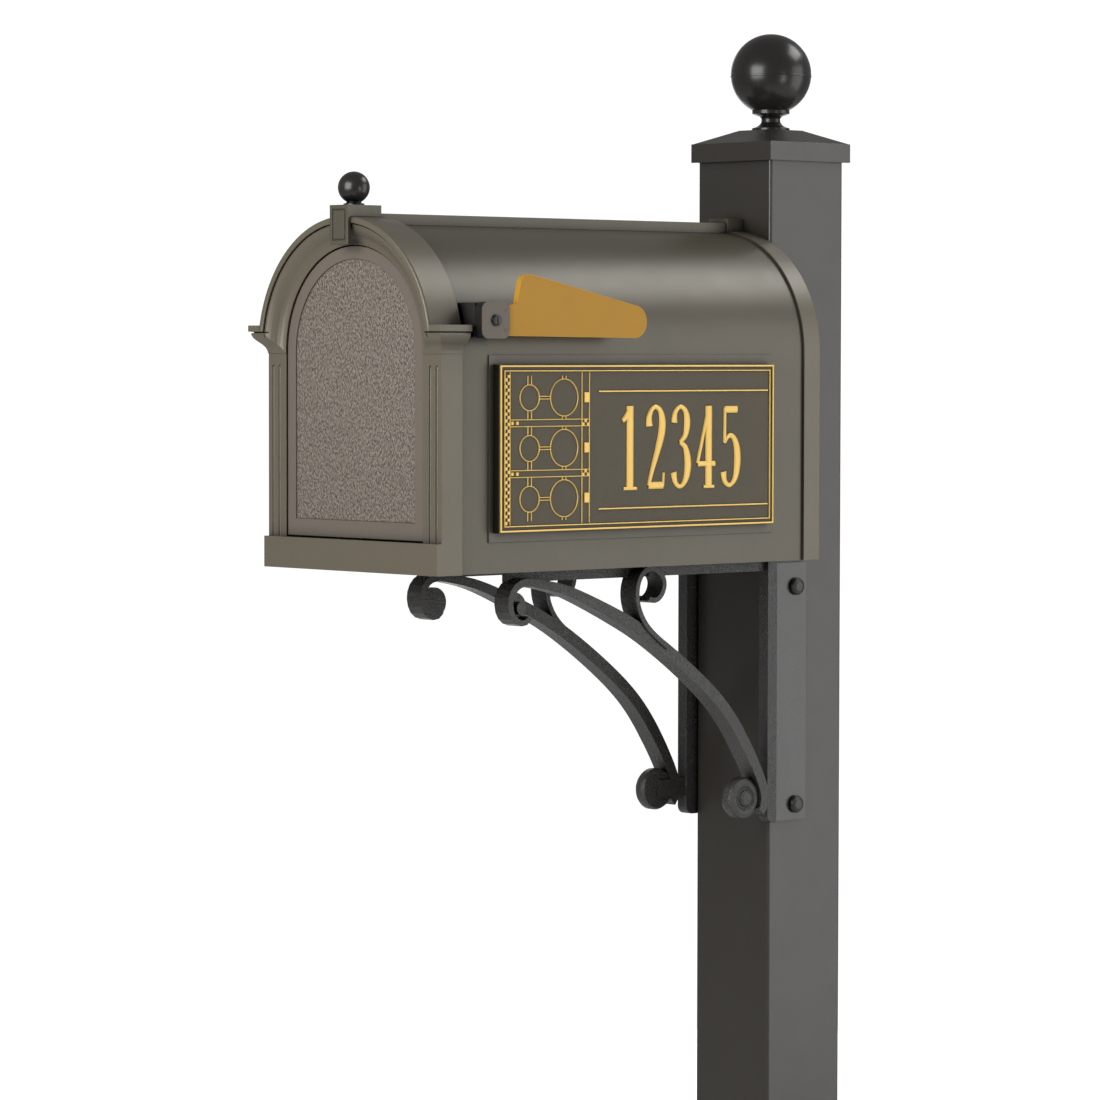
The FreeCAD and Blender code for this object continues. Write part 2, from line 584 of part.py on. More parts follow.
def front_frame():
    s = arch(FRAME_HALF, 0, Y_PIL, Y_SEAM)
    s = fuse([s, box(-FRAME_HALF, FRAME_HALF, YF, Y_PIL + 1, 0, PLINTH_TOP)])
    s = s.cut(arch(OPEN_HALF, PLINTH_TOP, YF - 20, Y_SEAM + 1))
    s = fuse([s] + capitals())
    # the casting is hollow behind the jambs, the arch and the plinth
    y_in = Y_PIL + 4.0
    ring = arch(FRAME_HALF - 13.8, 6.0, y_in, Y_SEAM + 1)
    ring = ring.cut(arch(OPEN_HALF + 4.0, 4.0, y_in - 1, Y_SEAM + 2))
    s = s.cut(ring)
    s = s.cut(box(-OPEN_HALF - 4, OPEN_HALF + 4, YF + 5.0, Y_SEAM + 1, 6.0, PLINTH_TOP - 4.0))
    # door stop around the sides and the arch
    lip = arch(OPEN_HALF + 1, LIP_LOW, Y_LIP, Y_LIP + LIP_T)
    lip = lip.cut(arch(OPEN_HALF - STOP_LIP, LIP_LOW - 10.0, Y_LIP - 1, Y_LIP + LIP_T + 1))
    # spigot inside the shell
    spigot = arch(INNER_HALF - FIT, 0, Y_SEAM - 1, Y_SEAM + 10)
    spigot = spigot.cut(arch(INNER_HALF - 3.5, 6.0, Y_SEAM - 2, Y_SEAM + 11))
    s = fuse([s, lip, spigot])
    # two flutes in the face of each pilaster, and the bores of the door pins
    for side in (-1, 1):
        for off in (7.1, 16.2):
            x = side * (FRAME_HALF - off)
            y = Y_PIL - 0.3
            s = s.cut(cyl(FLUTE_R, (x, y, PLINTH_TOP), (x, y, FLUTE_TOP)))
            s = s.cut(Part.makeSphere(FLUTE_R, V(x, y, FLUTE_TOP)))
        a = (side * (OPEN_HALF - 1), PIVOT_Y, PIVOT_UP)
        b = (side * (OPEN_HALF + 8), PIVOT_Y, PIVOT_UP)
        s = s.cut(cyl(PIN_R + BORE_FIT, a, b))
    for x, z in CATCH_SCREWS:
        s = s.cut(cyl(1.5 + FIT, (x, Y_LIP - 1, z), (x, Y_LIP + 5, z)))
    top = ARCH_Z + FRAME_HALF
    s = s.cut(cyl(2.0 + FIT, (0, FRONT_KEY_Y, top - JAMB + 3.0), (0, FRONT_KEY_Y, top + 5)))
    for side, z in FRAME_SCREWS:
        a = (side * (INNER_HALF - 6), Y_SEAM + 5, z)
        b = (side * (INNER_HALF + 1), Y_SEAM + 5, z)
        s = s.cut(cyl(1.5 + FIT, a, b))
    return s.removeSplitter()


def frame_screws():
    """Short screws from inside the spigot into the shell."""
    made = []
    for side, z in FRAME_SCREWS:
        y = Y_SEAM + 5
        shank = cyl(1.5, (side * (INNER_HALF - 4.0), y, z), (side * (INNER_HALF + 1.6), y, z))
        head = cyl(3.0, (side * (INNER_HALF - 5.6), y, z), (side * (INNER_HALF - 3.5), y, z))
        made.append(fuse([shank, head]))
    return Part.makeCompound(made)


def front_keystone():
    y0 = YF - KEY_OUT
    y1 = Y_SEAM - 2.0
    blk = box(-KEY_HALF, KEY_HALF, y0, y1, ARCH_Z + FRAME_HALF - 2.0, KEY_TOP)
    tongue = box(-KEY_HALF, KEY_HALF, y0, y0 + TONGUE_T, TONGUE_LOW, KEY_TOP)
    s = fuse([blk, tongue])
    s = s.cut(cyl(FRAME_HALF + FIT, (0, y0 + TONGUE_T, ARCH_Z), (0, y1 + 1, ARCH_Z)))
    # framed panel on the front
    m = 3.6
    groove = box(-KEY_HALF + m, KEY_HALF - m, y0 - 1, y0 + 0.9, TONGUE_LOW + m, KEY_TOP - m)
    m = 5.2
    groove = groove.cut(box(-KEY_HALF + m, KEY_HALF - m, y0 - 2, y0 + 2, TONGUE_LOW + m, KEY_TOP - m))
    s = s.cut(groove)
    s = s.cut(cyl(2.0 + FIT, (0, FRONT_KEY_Y, ARCH_Z + 110), (0, FRONT_KEY_Y, KEY_TOP - 3.0)))
    return s.cut(cyl(2.5 + FIT, (0, YF + BALL_BACK, KEY_TOP - 7.0), (0, YF + BALL_BACK, KEY_TOP + 1)))


def keystone_screw(y, z_under, z_end):
    head = cyl(3.8, (0, y, z_under - 2.4), (0, y, z_under - 0.1))
    return fuse([head, cyl(2.0, (0, y, z_under - 1), (0, y, z_end))])


def keystone_screws():
    front = keystone_screw(FRONT_KEY_Y, ARCH_Z + OPEN_HALF + 8.4, KEY_TOP - 3.5)
    rear = keystone_screw(REAR_KEY_Y, ARCH_Z + INNER_HALF, REAR_KEY_TOP - 3.5)
    return Part.makeCompound([front, rear])


def small_finial():
    y = YF + BALL_BACK
    z = KEY_TOP
    profile = [(0, z - 6.5), (2.5, z - 6.5), (2.5, z), (9.6, z), (9.6, z + 1.4)]
    profile += [(7.2, z + 2.2), (6.6, z + 3.4), (0, z + 3.4)]
    stem = turned(profile, (0, y, 0), (0, 0, 1))
    return stem.fuse(Part.makeSphere(SMALL_BALL_R, V(0, y, z + 1.4 + SMALL_BALL_R)))


# ---------------------------------------------------------------------------
# Door on two side pins near its lower edge, held by a magnetic catch
# ---------------------------------------------------------------------------
def door():
    y0 = YF + DOOR_FACE
    y1 = y0 + DOOR_T
    s = arch(DOOR_HALF, DOOR_LOW, y0, y1)
    chamfer = [(y0 - 1, DOOR_LOW - 1), (y0 + 1.6, DOOR_LOW - 1), (y0 - 1, DOOR_LOW + 1.6)]
    s = s.cut(prism_x(chamfer, -OPEN_HALF, OPEN_HALF))
    s = s.cut(arch(FIELD_HALF, FIELD_LOW, y0 - 1, y0 + 1.0))
    s = s.cut(arch(FIELD_HALF - 2, 52.0, y0 + 4.8, y1 + 1))
    for sx in (-1, 1):
        s = s.cut(cyl(PIN_R, (sx * 80.0, PIVOT_Y, PIVOT_UP), (sx * 120.0, PIVOT_Y, PIVOT_UP)))
    for x in RIVET_XS:
        s = s.cut(cyl(1.5 + FIT, (x, STRIKE_Y - 3.0, STRIKE_Z), (x, y1 + 1, STRIKE_Z)))
    return s


def hinge_pins():
    made = []
    for sx in (-1, 1):
        made.append(cyl(PIN_R, (sx * 80.0, PIVOT_Y, PIVOT_UP), (sx * 105.0, PIVOT_Y, PIVOT_UP)))
    return Part.makeCompound(made)


def door_strike():
    s = box(-15.0, 15.0, STRIKE_Y, STRIKE_Y + 2.2, STRIKE_Z - 6.0, STRIKE_Z + 5.0)
    for x in RIVET_XS:
        s = s.cut(cyl(1.5 + FIT, (x, STRIKE_Y - 1, STRIKE_Z), (x, STRIKE_Y + 5, STRIKE_Z)))
    return s


def strike_rivets():
    made = []
    for x in RIVET_XS:
        shank = cyl(1.5, (x, STRIKE_Y - 2.6, STRIKE_Z), (x, STRIKE_Y + 2.3, STRIKE_Z))
        head = cyl(2.2, (x, STRIKE_Y + 2.2, STRIKE_Z), (x, STRIKE_Y + 2.9, STRIKE_Z))
        made.append(fuse([shank, head]))
    return Part.makeCompound(made)


def catch_parts():
    y0 = Y_LIP + LIP_T
    y_nose = Y_LIP + 0.3
    plate = box(-15.0, 15.0, y0, y0 + 3.0, STRIKE_Z - 8.0, CATCH_Z + 1.4)
    nose = box(-10.5, 10.5, y_nose, y0 + 3.0, STRIKE_Z - 8.0, STRIKE_Z + 7.5)
    pocket = box(-8.5, 8.5, y_nose - 1.0, y0, STRIKE_Z - 6.0, STRIKE_Z + 5.5)
    holder = fuse([plate, nose]).cut(pocket)
    magnet = box(-8.5 + FIT, 8.5 - FIT, STRIKE_Y + 2.7, y0 - FIT, STRIKE_Z - 6.0 + FIT, STRIKE_Z + 5.5 - FIT)
    screws = []
    for x, z in CATCH_SCREWS:
        holder = holder.cut(cyl(1.5 + FIT, (x, y0 - 1, z), (x, y0 + 5, z)))
        shank = cyl(1.5, (x, Y_LIP + 0.4, z), (x, y0 + 3.1, z))
        screws.append(fuse([shank, cyl(1.9, (x, y0 + 3.0, z), (x, y0 + 4.6, z))]))
    return holder, magnet, Part.makeCompound(screws)


# ---------------------------------------------------------------------------
# Flag on a shoulder bolt through a fixed boss
# ---------------------------------------------------------------------------
WASHER_T = 0.8
HUB_X = BODY_HALF + BOSS_T + WASHER_T
HUB_END = HUB_X + HUB_T
ARM_X0 = HUB_X + 3.2
NUT_RISE = FLAG_Z - ARCH_Z + 6.0
NUT_X = math.sqrt(INNER_HALF ** 2 - NUT_RISE ** 2) - 0.1   # the nut stops against the bent roof


def flag_boss():
    """Block on the side of the roof, hollowed to its curve."""
    s = rounded_box_x(BODY_HALF - 9.0, BODY_HALF + BOSS_T, FLAG_Y, FLAG_Z, HUB - 1, HUB - 1, 3.0)
    s = s.cut(arch(BODY_HALF + FIT, 0, FLAG_Y - HUB, FLAG_Y + HUB))
    return s.cut(cyl(FLAG_BOLT_R + FIT, (BODY_HALF - 30, FLAG_Y, FLAG_Z), (BODY_HALF + 30, FLAG_Y, FLAG_Z)))


def flag_washer():
    x = BODY_HALF + BOSS_T
    s = cyl(9.0, (x, FLAG_Y, FLAG_Z), (x + WASHER_T - FIT, FLAG_Y, FLAG_Z))
    return s.cut(cyl(FLAG_BOLT_R + FIT, (x - 1, FLAG_Y, FLAG_Z), (x + 3, FLAG_Y, FLAG_Z)))


def flag_hub():
    s = rounded_box_x(HUB_X, HUB_END, FLAG_Y, FLAG_Z, HUB, HUB, 7.0)
    s = s.cut(cyl(FLAG_BOLT_R + BORE_FIT, (HUB_X - 1, FLAG_Y, FLAG_Z), (HUB_END + 1, FLAG_Y, FLAG_Z)))
    x0 = ARM_X0 + 1.4 - FIT
    x1 = ARM_X0 + FLAG_T - 1.4 + FIT
    s = s.cut(box(x0, x1, FLAG_Y + 6.0, FLAG_Y + 20, FLAG_Z - 13.0 - FIT, FLAG_Z + 13.0 + FIT))
    for z in (FLAG_Z - 9.0, FLAG_Z + 9.0):
        s = s.cut(cyl(1.5 + FIT, (HUB_X - 1, FLAG_Y + 11, z), (HUB_END + 1, FLAG_Y + 11, z)))
    return s


def flag_arm():
    y0 = FLAG_Y + HUB / 2
    r = 15.0
    tip = (FLAG_Y + FLAG_LEN - r, FLAG_Z - 0.5)
    a = V(0, y0, FLAG_Z - 14.0)
    b = V(0, y0, FLAG_Z + 13.0)
    c = V(0, y0 + 10.5, FLAG_Z + 15.5)
    d = V(0, y0 + 14.5, FLAG_Z + 34.0)
    e = V(0, y0 + 19.0, FLAG_Z + 40.2)
    f = V(0, y0 + 27.0, FLAG_Z + 41.5)
    g = V(0, y0 + 38.5, FLAG_Z + 39.5)
    slope = math.radians(13.0)
    top = V(0, tip[0] + r * math.sin(slope), tip[1] + r * math.cos(slope))
    end = V(0, tip[0] + r, tip[1])
    low = V(0, tip[0], tip[1] - r)
    edges = [Part.makeLine(a, b), Part.makeLine(b, c), Part.makeLine(c, d)]
    edges.append(Part.Arc(d, e, f).toShape())
    edges.append(Part.makeLine(f, g))
    edges.append(Part.makeLine(g, top))
    edges.append(Part.Arc(top, end, low).toShape())
    edges.append(Part.makeLine(low, a))
    s = Part.Face(Part.Wire(edges)).extrude(V(FLAG_T, 0, 0))
    s.translate(V(ARM_X0, 0, 0))
    tongue = box(ARM_X0 + 1.4, ARM_X0 + FLAG_T - 1.4, y0 - 9.0, y0 + 1.0, FLAG_Z - 13.0, FLAG_Z + 13.0)
    s = fuse([s, tongue])
    for z in (FLAG_Z - 9.0, FLAG_Z + 9.0):
        s = s.cut(cyl(1.5 + FIT, (HUB_X - 1, FLAG_Y + 11, z), (HUB_END + 1, FLAG_Y + 11, z)))
    return s


def flag_pins():
    made = []
    for z in (FLAG_Z - 9.0, FLAG_Z + 9.0):
        made.append(cyl(1.5, (HUB_X + 0.4, FLAG_Y + 11, z), (HUB_END - 0.1, FLAG_Y + 11, z)))
    return Part.makeCompound(made)


def flag_bolt():
    shank = cyl(FLAG_BOLT_R, (NUT_X - 7.0, FLAG_Y, FLAG_Z), (HUB_END + 0.5, FLAG_Y, FLAG_Z))
    head = turned([(0, 0), (5.2, 0), (5.2, 1.3), (3.9, 2.3), (0, 2.6)], (HUB_END + 0.1, FLAG_Y, FLAG_Z), (1, 0, 0))
    slot = box(HUB_END + 1.6, HUB_END + 4, FLAG_Y - 0.6, FLAG_Y + 0.6, FLAG_Z - 6, FLAG_Z + 6)
    return fuse([shank, head]).cut(slot)


def flag_nut():
    s = hexagon(10.0, (NUT_X - 5.0, FLAG_Y, FLAG_Z), (NUT_X, FLAG_Y, FLAG_Z))
    return s.cut(cyl(FLAG_BOLT_R + FIT, (NUT_X - 8, FLAG_Y, FLAG_Z), (NUT_X + 3, FLAG_Y, FLAG_Z)))


# ---------------------------------------------------------------------------
# Number plaque with raised border, ornament and numerals
# ---------------------------------------------------------------------------
FACE_X = PLAQUE_X + PLAQUE_T
P_LOW = PLAQUE_MID_Z - PLAQUE_HIGH / 2
P_TOP = PLAQUE_MID_Z + PLAQUE_HIGH / 2


def relief(y0, y1, z0, z1):
    return box(FACE_X, FACE_X + RELIEF, y0, y1, z0, z1)


def frame_relief(y0, y1, z0, z1, w):
    return relief(y0, y1, z0, z1).cut(box(FACE_X - 1, FACE_X + 5, y0 + w, y1 - w, z0 + w, z1 - w))


def number_plaque():
    s = box(PLAQUE_X, FACE_X, PLAQUE_Y0, PLAQUE_Y1, P_LOW, P_TOP)
    for y in STUD_YS:
        for z in STUD_ZS:
            s = s.cut(cyl(2.0 + FIT, (PLAQUE_X - 1, y, z), (PLAQUE_X + 6, y, z)))
    return s


ORN_Y1 = PLAQUE_Y0 + 122.0


def plaque_border():
    y0, y1, z0, z1 = PLAQUE_Y0 + 0.8, PLAQUE_Y1 - 0.8, P_LOW + 0.8, P_TOP - 0.8
    items = [frame_relief(y0, y1, z0, z1, 1.5)]
    items.append(frame_relief(y0 + 4.6, y1 - 4.6, z0 + 4.6, z1 - 4.6, 0.9))
    items.append(relief(ORN_Y1, y1 - 8.0, P_TOP - 25.5, P_TOP - 24.3))
    items.append(relief(ORN_Y1, y1 - 8.0, P_LOW + 19.0, P_LOW + 20.2))
    return Part.makeCompound(items)


def disc_relief(y, z, r, r_in):
    s = cyl(r, (FACE_X, y, z), (FACE_X + RELIEF, y, z))
    if r_in > 0:
        s = s.cut(cyl(r_in, (FACE_X - 1, y, z), (FACE_X + 5, y, z)))
    return s


def plaque_ornament():
    """Plain lattice: squares, rings and bars in a tall panel."""
    items = []
    y0, y1 = PLAQUE_Y0 + 9.0, ORN_Y1 - 4.0
    z0, z1 = P_LOW + 9.0, P_TOP - 9.0
    cols = 4
    rows = 5
    dy = (y1 - y0) / cols
    dz = (z1 - z0) / rows
    for i in range(cols):
        for j in range(rows):
            a = y0 + i * dy + 1.6
            b = a + dy - 3.2
            c = z0 + j * dz + 1.6
            d = c + dz - 3.2
            if (i + j) % 2 == 0:
                items.append(frame_relief(a, b, c, d, 1.3))
                items.append(disc_relief((a + b) / 2, (c + d) / 2, 5.4, 3.6))
            else:
                items.append(disc_relief((a + b) / 2, (c + d) / 2, 8.6, 6.6))
                items.append(disc_relief((a + b) / 2, (c + d) / 2, 2.6, 0))
    return Part.makeCompound(items)


def stroke(a, b, w):
    """Raised bar with round ends between two (y, z) points."""
    d = V(0, b[0] - a[0], b[1] - a[1])
    n = V(0, -d.z, d.y)
    n.normalize()
    n = n * (w / 2)
    p = V(FACE_X, a[0], a[1])
    q = V(FACE_X, b[0], b[1])
    face = Part.Face(Part.makePolygon([p + n, q + n, q - n, p - n, p + n]))
    s = face.extrude(V(RELIEF, 0, 0))
    s = s.fuse(disc_relief(a[0], a[1], w / 2, 0))
    return s.fuse(disc_relief(b[0], b[1], w / 2, 0))


def path_points(kind):
    """Numeral drawn on a grid one wide and two high."""
    def arc(cy, cz, ry, rz, a0, a1, n):
        out = []
        for k in range(n + 1):
            t = math.radians(a0 + (a1 - a0) * k / n)
            out.append((cy + ry * math.cos(t), cz + rz * math.sin(t)))
        return out
    if kind == "1":
        return [[(0.22, 1.72), (0.52, 2.0), (0.52, 0.0)], [(0.22, 0.0), (0.82, 0.0)]]
    if kind == "2":
        return [arc(0.5, 1.5, 0.42, 0.5, 165, -30, 7) + [(0.06, 0.0), (0.94, 0.0)]]
    if kind == "3":
        return [arc(0.48, 1.52, 0.38, 0.48, 150, -85, 7), arc(0.48, 0.53, 0.44, 0.53, 88, -150, 7)]
    if kind == "4":
        return [[(0.72, 0.0), (0.72, 2.0), (0.04, 0.62), (0.96, 0.62)]]
    return [[(0.88, 2.0), (0.18, 2.0), (0.12, 1.1)] + arc(0.48, 0.62, 0.44, 0.62, 120, -150, 8)]


def plaque_numerals():
    made = []
    high = 74.0
    wide = 24.0
    w = 5.2
    start = ORN_Y1 + 44.0
    pitch = 33.6
    for k, kind in enumerate("12345"):
        y0 = start + k * pitch
        z0 = PLAQUE_MID_Z - high / 2 - 1.0
        parts = []
        for pts in path_points(kind):
            real = [(y0 + wide * u, z0 + high * v / 2) for u, v in pts]
            for a, b in zip(real[:-1], real[1:]):
                parts.append(stroke(a, b, w))
        made.append(fuse(parts))
    return Part.makeCompound(made)


def plaque_fixings():
    studs = []
    nuts = []
    x = BODY_HALF - WALL
    for y in STUD_YS:
        for z in STUD_ZS:
            studs.append(cyl(2.0, (x - 7.0, y, z), (PLAQUE_X + 5.5, y, z)))
            nut = hexagon(7.0, (x - 3.6, y, z), (x - 0.1, y, z))
            nuts.append(nut.cut(cyl(2.0 + FIT, (x - 8, y, z), (x + 3, y, z))))
    return Part.makeCompound(studs), Part.makeCompound(nuts)


# ---------------------------------------------------------------------------
# Write every piece
# ---------------------------------------------------------------------------
save("post_tube", post_tube())
save("post_cap", post_cap())
save("cap_screws", cap_screws())
save("finial_neck", finial_neck())
save("finial_ball", finial_ball())
save("finial_rod", finial_rod())
save("finial_nut", finial_nut())
right = bracket()
save("bracket_right", right)
save("bracket_left", mirrored(right))
save("bracket_bolts", bracket_bolts())
save("bracket_washers", bracket_washers())
save("bracket_nuts", bracket_nuts())
floor_bolts, floor_nuts = floor_fasteners()
save("floor_bolts", floor_bolts)
save("floor_nuts", floor_nuts)
save("body_shell", body_shell())
save("floor_pan", floor_pan())
save("ridge_strip", ridge_strip())
save("ridge_screws", ridge_screws())
save("rear_frame", rear_frame())
save("rear_panel", rear_panel())
save("rear_screws", rear_screws())
save("rear_keystone", rear_keystone())
save("front_frame", front_frame())
save("frame_screws", frame_screws())
save("front_keystone", front_keystone())
save("keystone_screws", keystone_screws())
save("small_finial", small_finial())
save("door", door())
save("hinge_pins", hinge_pins())
save("door_strike", door_strike())
save("strike_rivets", strike_rivets())
holder, magnet, catch_screws = catch_parts()
save("catch_holder", holder)
save("catch_magnet", magnet)
save("catch_screws", catch_screws)
save("flag_boss", flag_boss())
save("flag_washer", flag_washer())
save("flag_hub", flag_hub())
save("flag_arm", flag_arm())
save("flag_pins", flag_pins())
save("flag_bolt", flag_bolt())
save("flag_nut", flag_nut())
save("number_plaque", number_plaque())
save("plaque_border", plaque_border())
save("plaque_ornament", plaque_ornament())
save("plaque_numerals", plaque_numerals())
studs, stud_nuts = plaque_fixings()
save("plaque_studs", studs)
save("plaque_nuts", stud_nuts)
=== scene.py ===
import math

import bpy
from mathutils import Matrix, Vector


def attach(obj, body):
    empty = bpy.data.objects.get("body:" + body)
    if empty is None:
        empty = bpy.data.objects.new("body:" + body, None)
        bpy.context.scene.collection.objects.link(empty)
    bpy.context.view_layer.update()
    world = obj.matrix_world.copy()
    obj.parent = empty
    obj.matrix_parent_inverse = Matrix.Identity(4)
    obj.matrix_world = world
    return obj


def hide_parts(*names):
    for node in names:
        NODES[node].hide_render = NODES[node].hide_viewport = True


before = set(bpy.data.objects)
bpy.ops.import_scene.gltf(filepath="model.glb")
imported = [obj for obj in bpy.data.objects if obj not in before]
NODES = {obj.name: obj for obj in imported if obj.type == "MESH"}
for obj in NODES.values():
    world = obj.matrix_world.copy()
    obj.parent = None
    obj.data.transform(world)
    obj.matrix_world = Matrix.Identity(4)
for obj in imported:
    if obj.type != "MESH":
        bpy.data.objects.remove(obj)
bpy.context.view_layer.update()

SCENE = bpy.context.scene

# The door's sunk field, the centre of the arch and the middle of the door, in metres
FIELD_HALF = 0.0850
FIELD_LOW = 1.1130
FIELD_INSET = 0.0006    # the hammering stops this far inside the field's edge
ARCH_Z = 1.2680
DOOR_MIDDLE = -0.5350


# ---------------------------------------------------------------- node helpers

def new_material(name):
    material = bpy.data.materials.new(name)
    material.use_nodes = True
    tree = material.node_tree
    shader = next(n for n in tree.nodes if n.type == "BSDF_PRINCIPLED")
    return material, tree, shader


def node(tree, kind, inputs=None, **settings):
    made = tree.nodes.new(kind)
    for key, value in settings.items():
        setattr(made, key, value)
    for key, value in (inputs or {}).items():
        if isinstance(value, bpy.types.NodeSocket):
            tree.links.new(value, made.inputs[key])
        else:
            made.inputs[key].default_value = value
    return made


def ramp(tree, source, stops):
    made = node(tree, "ShaderNodeValToRGB", {"Fac": source})
    elements = made.color_ramp.elements
    while len(elements) < len(stops):
        elements.new(0.5)
    for element, (place, colour) in zip(elements, stops):
        element.position = place
        element.color = (*colour, 1.0)
    return made.outputs["Color"]


def noise(tree, where, scale, detail=3.0, rough=0.55, distortion=0.0):
    inputs = {"Vector": where, "Scale": scale, "Detail": detail}
    inputs.update({"Roughness": rough, "Distortion": distortion})
    return node(tree, "ShaderNodeTexNoise", inputs).outputs["Fac"]


def grey(value):
    return (value, value, value)


def math_node(tree, operation, first, second=0.0):
    made = node(tree, "ShaderNodeMath", operation=operation)
    for socket, value in zip(made.inputs, (first, second)):
        if isinstance(value, bpy.types.NodeSocket):
            tree.links.new(value, socket)
        else:
            socket.default_value = value
    return made.outputs[0]


def mix(tree, share, first, second):
    made = node(tree, "ShaderNodeMix", data_type="RGBA")
    for index, value in ((0, share), (6, first), (7, second)):
        if isinstance(value, bpy.types.NodeSocket):
            tree.links.new(value, made.inputs[index])
        else:
            made.inputs[index].default_value = value if index == 0 else (*value, 1.0)
    return made.outputs[2]


def edge_mask(tree, radius):
    """1 within the radius of an edge, 0 on flat faces."""
    rounded = node(tree, "ShaderNodeBevel", {"Radius": radius}, samples=4).outputs[0]
    flat = node(tree, "ShaderNodeNewGeometry").outputs["Normal"]
    dot = node(tree, "ShaderNodeVectorMath", operation="DOT_PRODUCT")
    tree.links.new(rounded, dot.inputs[0])
    tree.links.new(flat, dot.inputs[1])
    return ramp(tree, dot.outputs["Value"], [(0.90, grey(1.0)), (0.985, grey(0.0))])


def field_mask(tree, where):
    """1 on the outside of the door's sunk field, 0 on its plain margin and its back."""
    parts = node(tree, "ShaderNodeSeparateXYZ", {"Vector": where})
    x, z = parts.outputs["X"], parts.outputs["Z"]
    rise = math_node(tree, "MAXIMUM", math_node(tree, "SUBTRACT", z, ARCH_Z), 0.0)
    square = math_node(tree, "ADD", math_node(tree, "MULTIPLY", x, x), math_node(tree, "MULTIPLY", rise, rise))
    inside = math_node(tree, "LESS_THAN", math_node(tree, "SQRT", square), FIELD_HALF - FIELD_INSET)
    above = math_node(tree, "GREATER_THAN", z, FIELD_LOW + FIELD_INSET)
    outside = math_node(tree, "LESS_THAN", parts.outputs["Y"], DOOR_MIDDLE)
    return math_node(tree, "MULTIPLY", math_node(tree, "MULTIPLY", inside, above), outside)


# ------------------------------------------------------------------- materials

def painted(name, colour, rough, peel, cast=None, hammer=False, flake=0.0, edge_highlight=0.3, metallic=0.0, shine=0.5,
            face=None, corner_shade=1.0, reach=0.012, skin_ends=None):
    """Surface of one material, most of them sprayed metal.

    peel and cast are (grains per metre, height in metres) of the orange peel
    and of the sand-cast skin below it. edge_highlight is how much a painted
    highlight lightens the edges. Where face is given, only the face beyond
    that x has the colour and the sides below it are painted black as shade.
    corner_shade is how dark the painted shade in corners, creases and recesses
    is, reach how far from them it shows, and skin_ends the y beyond which the
    casting is ground smooth.
    """
    material, tree, shader = new_material(name)
    where = node(tree, "ShaderNodeTexCoord").outputs["Object"]
    dark = tuple(c * 0.90 for c in colour)
    light = tuple(c * 1.09 for c in colour)
    base = mix(tree, noise(tree, where, 9.0, 5.0), dark, light)
    if flake:
        speck = ramp(tree, noise(tree, where, 1500.0, 2.0), [(0.60, grey(0.0)), (0.75, grey(flake))])
        base = mix(tree, speck, base, tuple(c * 2.2 for c in colour))
    # Painted highlight: the edges are lightened, broken up by noise.
    edge_glint = math_node(tree, "MULTIPLY", edge_mask(tree, 0.0009), noise(tree, where, 60.0, 5.0, 0.7))
    bright = tuple(min(1.0, c * 2.2) for c in colour)
    base = mix(tree, math_node(tree, "MULTIPLY", edge_glint, edge_highlight), base, bright)
    # Painted shade: below the given x the sides are black.
    if face:
        across = node(tree, "ShaderNodeSeparateXYZ", {"Vector": where}).outputs["X"]
        base = mix(tree, math_node(tree, "LESS_THAN", across, face), base, PAINTED_SIDE_SHADE)
    # Painted shade: the colour darkens in corners, creases and recesses found by ambient occlusion.
    occlusion = node(tree, "ShaderNodeAmbientOcclusion", {"Distance": reach}, samples=6).outputs["AO"]
    corner_shading = node(tree, "ShaderNodeMix", data_type="RGBA", blend_type="MULTIPLY")
    corner_shading.inputs[0].default_value = corner_shade
    tree.links.new(base, corner_shading.inputs[6])
    tree.links.new(ramp(tree, occlusion, [(0.34, grey(0.12)), (0.90, grey(1.0))]), corner_shading.inputs[7])
    base = corner_shading.outputs[2]
    gloss = ramp(tree, noise(tree, where, 35.0, 5.0), [(0.3, grey(rough - 0.015)), (0.7, grey(rough + 0.02))])
    tree.links.new(gloss, shader.inputs["Roughness"])
    shader.inputs["Metallic"].default_value = metallic
    shader.inputs["Specular IOR Level"].default_value = shine
    normal = node(tree, "ShaderNodeBevel", {"Radius": 0.0006}, samples=4).outputs[0]
    for grain in (peel, cast):
        if grain:
            height = noise(tree, where, grain[0], 3.0, 0.5)
            if skin_ends and grain is cast:
                back = node(tree, "ShaderNodeSeparateXYZ", {"Vector": where}).outputs["Y"]
                height = math_node(tree, "MULTIPLY", height, math_node(tree, "LESS_THAN", back, skin_ends))
            bump = node(tree, "ShaderNodeBump", {"Height": height, "Distance": grain[1], "Normal": normal})
            normal = bump.outputs[0]
    if hammer:
        mask = field_mask(tree, where)
        slant = node(tree, "ShaderNodeMapping", {"Vector": where}, vector_type="POINT")
        slant.inputs["Rotation"].default_value = (0.0, math.radians(38.0), 0.0)
        slant.inputs["Scale"].default_value = (1.0, 1.0, 0.62)
        dents = noise(tree, slant.outputs[0], 600.0, 2.0, 0.5, 0.4)
        height = math_node(tree, "MULTIPLY", dents, mask)
        bump = node(tree, "ShaderNodeBump", {"Height": height, "Distance": HAMMER, "Normal": normal})
        normal = bump.outputs[0]
        # Painted light and shade: the field's colour is darker in the dents and lighter on their crowns.
        shade = ramp(tree, dents, [(0.38, grey(0.52)), (0.62, grey(1.70))])
        dent_shading = node(tree, "ShaderNodeMix", data_type="RGBA", blend_type="MULTIPLY")
        tree.links.new(mask, dent_shading.inputs[0])
        tree.links.new(base, dent_shading.inputs[6])
        tree.links.new(shade, dent_shading.inputs[7])
        base = dent_shading.outputs[2]
    tree.links.new(base, shader.inputs["Base Color"])
    tree.links.new(normal, shader.inputs["Normal"])
    return material


HAMMER = 0.0016         # depth of the door's hammering
BODY = (0.098, 0.087, 0.062)
